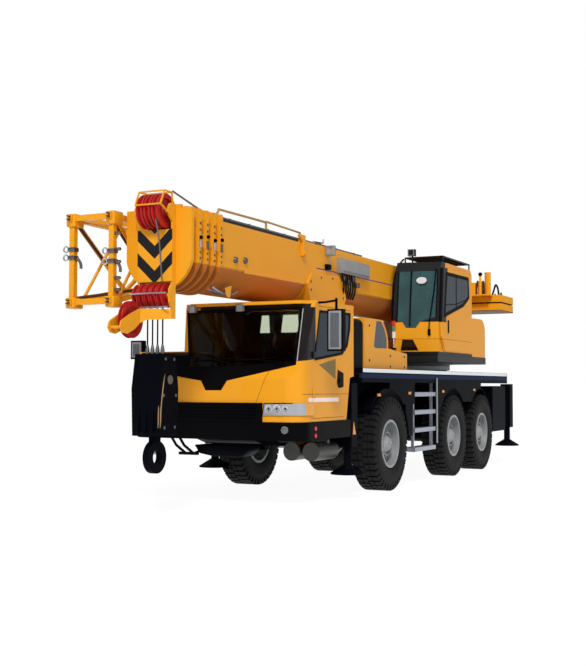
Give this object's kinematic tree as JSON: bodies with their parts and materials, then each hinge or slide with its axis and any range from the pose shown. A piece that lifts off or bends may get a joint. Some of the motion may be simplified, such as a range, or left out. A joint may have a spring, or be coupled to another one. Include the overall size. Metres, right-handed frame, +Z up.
{
  "type": "mobile crane",
  "caption": "Three-axle all-terrain mobile crane with a carrier cab, outriggers, slewing upper works, counterweight and a telescopic boom with hook block and stowed lattice jib.",
  "frame": {"origin": "on the ground, at the middle of the crane's length and width with the boom down over the cab", "axes": "+X forward, +Y to the vehicle's left, +Z up"},
  "size_m": [12.275, 3.305, 3.8498],
  "materials": {
    "paint_yellow": "gloss enamel",
    "chassis_black": "satin chassis enamel",
    "tyre_rubber": "matt rubber",
    "rim_silver": "silver wheel enamel",
    "glazing": "tinted glass",
    "sheave_red": "red enamel",
    "step_alloy": "satin",
    "trim_black": "grained",
    "lamp_clear": "clear moulding",
    "cabin_grey": "woven",
    "engine_grey": "painted casting",
    "rod_chrome": "hard chrome",
    "steel_dark": "oiled steel"
  },
  "bodies": {
    "carrier": {"chassis_frame": "chassis_black", "axles": "chassis_black", "outrigger_box_front": "chassis_black", "outrigger_box_rear": "chassis_black", "deck": "chassis_black", "ladders": "step_alloy", "engine": "engine_grey", "engine_hood": "paint_yellow", "intake_and_exhaust": "trim_black", "air_tanks": "rim_silver", "carrier_cab_shell": "paint_yellow", "carrier_cab_glass": "glazing", "carrier_cab_interior": "cabin_grey", "front_bumper": "trim_black", "front_grille": "trim_black", "headlamps": "lamp_clear", "carrier_mirrors": "trim_black"},
    "wheel_1_left": {"tyre_1_left": "tyre_rubber", "rim_1_left": "rim_silver"},
    "wheel_1_right": {"tyre_1_right": "tyre_rubber", "rim_1_right": "rim_silver"},
    "wheel_2_left": {"tyre_2_left": "tyre_rubber", "rim_2_left": "rim_silver"},
    "wheel_2_right": {"tyre_2_right": "tyre_rubber", "rim_2_right": "rim_silver"},
    "wheel_3_left": {"tyre_3_left": "tyre_rubber", "rim_3_left": "rim_silver"},
    "wheel_3_right": {"tyre_3_right": "tyre_rubber", "rim_3_right": "rim_silver"},
    "knuckle_left": {"knuckle_left": "chassis_black"},
    "knuckle_right": {"knuckle_right": "chassis_black"},
    "carrier_cab_door": {"carrier_cab_door": "paint_yellow"},
    "outrigger_beam_front_left": {"outrigger_beam_front_left": "chassis_black"},
    "outrigger_jack_front_left": {"outrigger_jack_front_left": "steel_dark"},
    "outrigger_beam_front_right": {"outrigger_beam_front_right": "chassis_black"},
    "outrigger_jack_front_right": {"outrigger_jack_front_right": "steel_dark"},
    "outrigger_beam_rear_left": {"outrigger_beam_rear_left": "chassis_black"},
    "outrigger_jack_rear_left": {"outrigger_jack_rear_left": "steel_dark"},
    "outrigger_beam_rear_right": {"outrigger_beam_rear_right": "chassis_black"},
    "outrigger_jack_rear_right": {"outrigger_jack_rear_right": "steel_dark"},
    "upper_works": {"turntable": "paint_yellow", "upper_deck_cover": "paint_yellow", "operator_cab_shell": "paint_yellow", "operator_cab_glass": "glazing", "operator_cab_interior": "cabin_grey", "counterweight": "paint_yellow"},
    "operator_cab_door": {"operator_cab_door": "paint_yellow"},
    "winch_drum": {"winch_drum": "steel_dark"},
    "luff_barrel": {"luff_barrel": "paint_yellow"},
    "luff_rod": {"luff_rod": "rod_chrome"},
    "boom": {"boom_base": "paint_yellow", "lattice_jib": "paint_yellow", "lattice_jib_inner_side": "paint_yellow"},
    "boom_section_1": {"boom_section_1": "paint_yellow"},
    "boom_section_2": {"boom_section_2": "paint_yellow"},
    "boom_section_3": {"boom_section_3": "paint_yellow"},
    "boom_head_section": {"boom_head_section": "paint_yellow", "head_sheaves": "sheave_red"},
    "hook_block": {"hook_block": "chassis_black"}
  },
  "joints": [
    {"name": "wheel_1_left_spin", "type": "hinge", "parent": "knuckle_left", "child": "wheel_1_left", "pos_m": [1.13, 1.09, 0.685], "axis": [0, 1, 0], "continuous": true},
    {"name": "wheel_1_right_spin", "type": "hinge", "parent": "knuckle_right", "child": "wheel_1_right", "pos_m": [1.13, -1.09, 0.685], "axis": [0, 1, 0], "continuous": true},
    {"name": "wheel_2_left_spin", "type": "hinge", "parent": "carrier", "child": "wheel_2_left", "pos_m": [-1.84, 1.09, 0.685], "axis": [0, 1, 0], "continuous": true},
    {"name": "wheel_2_right_spin", "type": "hinge", "parent": "carrier", "child": "wheel_2_right", "pos_m": [-1.84, -1.09, 0.685], "axis": [0, 1, 0], "continuous": true},
    {"name": "wheel_3_left_spin", "type": "hinge", "parent": "carrier", "child": "wheel_3_left", "pos_m": [-3.49, 1.09, 0.685], "axis": [0, 1, 0], "continuous": true},
    {"name": "wheel_3_right_spin", "type": "hinge", "parent": "carrier", "child": "wheel_3_right", "pos_m": [-3.49, -1.09, 0.685], "axis": [0, 1, 0], "continuous": true},
    {"name": "steer_left", "type": "hinge", "parent": "carrier", "child": "knuckle_left", "pos_m": [1.13, 0.94, 0.685], "axis": [0, 0, 1], "range_deg": [-30, 30]},
    {"name": "steer_right", "type": "hinge", "parent": "carrier", "child": "knuckle_right", "pos_m": [1.13, -0.94, 0.685], "axis": [0, 0, 1], "range_deg": [-30, 30]},
    {"name": "carrier_cab_door_hinge", "type": "hinge", "parent": "carrier", "child": "carrier_cab_door", "pos_m": [3.78, 1.2623, 1.8], "axis": [0, 0, -1], "range_deg": [0, 70]},
    {"name": "outrigger_beam_front_left_slide", "type": "slide", "parent": "carrier", "child": "outrigger_beam_front_left", "axis": [0, 1, 0], "range_m": [0, 1.6]},
    {"name": "outrigger_jack_front_left_slide", "type": "slide", "parent": "outrigger_beam_front_left", "child": "outrigger_jack_front_left", "axis": [0, 0, -1], "range_m": [0, 0.45]},
    {"name": "outrigger_beam_front_right_slide", "type": "slide", "parent": "carrier", "child": "outrigger_beam_front_right", "axis": [0, -1, 0], "range_m": [0, 1.6]},
    {"name": "outrigger_jack_front_right_slide", "type": "slide", "parent": "outrigger_beam_front_right", "child": "outrigger_jack_front_right", "axis": [0, 0, -1], "range_m": [0, 0.45]},
    {"name": "outrigger_beam_rear_left_slide", "type": "slide", "parent": "carrier", "child": "outrigger_beam_rear_left", "axis": [0, 1, 0], "range_m": [0, 1.6]},
    {"name": "outrigger_jack_rear_left_slide", "type": "slide", "parent": "outrigger_beam_rear_left", "child": "outrigger_jack_rear_left", "axis": [0, 0, -1], "range_m": [0, 0.45]},
    {"name": "outrigger_beam_rear_right_slide", "type": "slide", "parent": "carrier", "child": "outrigger_beam_rear_right", "axis": [0, -1, 0], "range_m": [0, 1.6]},
    {"name": "outrigger_jack_rear_right_slide", "type": "slide", "parent": "outrigger_beam_rear_right", "child": "outrigger_jack_rear_right", "axis": [0, 0, -1], "range_m": [0, 0.45]},
    {"name": "slew", "type": "hinge", "parent": "carrier", "child": "upper_works", "pos_m": [-2.27, 0, 1.8], "axis": [0, 0, 1], "continuous": true},
    {"name": "operator_cab_door_slide", "type": "slide", "parent": "upper_works", "child": "operator_cab_door", "axis": [-1, 0, 0], "range_m": [0, 0.7]},
    {"name": "winch_spin", "type": "hinge", "parent": "upper_works", "child": "winch_drum", "pos_m": [-3.82, 0, 2.29], "axis": [0, 1, 0], "continuous": true},
    {"name": "boom_luff", "type": "hinge", "parent": "upper_works", "child": "boom", "pos_m": [-4.57, 0, 3.15], "axis": [0, -1, 0], "range_deg": [0, 80]},
    {"name": "luff_barrel_hinge", "type": "hinge", "parent": "upper_works", "child": "luff_barrel", "pos_m": [-3.07, 0, 2.15], "axis": [0, -1, 0], "range_deg": [0, 83.61]},
    {"name": "luff_rod_slide", "type": "slide", "parent": "luff_barrel", "child": "luff_rod", "axis": [0.9951, 0, 0.0988], "range_m": [0, 2.2922]},
    {"name": "telescope_1", "type": "slide", "parent": "boom", "child": "boom_section_1", "axis": [1, 0, 0], "range_m": [0, 6]},
    {"name": "telescope_2", "type": "slide", "parent": "boom_section_1", "child": "boom_section_2", "axis": [1, 0, 0], "range_m": [0, 6]},
    {"name": "telescope_3", "type": "slide", "parent": "boom_section_2", "child": "boom_section_3", "axis": [1, 0, 0], "range_m": [0, 6]},
    {"name": "telescope_4", "type": "slide", "parent": "boom_section_3", "child": "boom_head_section", "axis": [1, 0, 0], "range_m": [0, 6]},
    {"name": "hook_swing", "type": "hinge", "parent": "boom_head_section", "child": "hook_block", "pos_m": [5.44, 0, 2.58], "axis": [0, -1, 0], "range_deg": [-80, 0]}
  ],
  "couplings": [
    {"joint": "steer_right", "follows": "steer_left", "ratio": 1},
    {"joint": "luff_barrel_hinge", "follows": "boom_luff", "ratio": 1.045},
    {"joint": "luff_rod_slide", "follows": "boom_luff", "m_per_rad": 1.641},
    {"joint": "telescope_2", "follows": "telescope_1", "ratio": 1},
    {"joint": "telescope_3", "follows": "telescope_1", "ratio": 1},
    {"joint": "telescope_4", "follows": "telescope_1", "ratio": 1},
    {"joint": "hook_swing", "follows": "boom_luff", "ratio": -1}
  ]
}
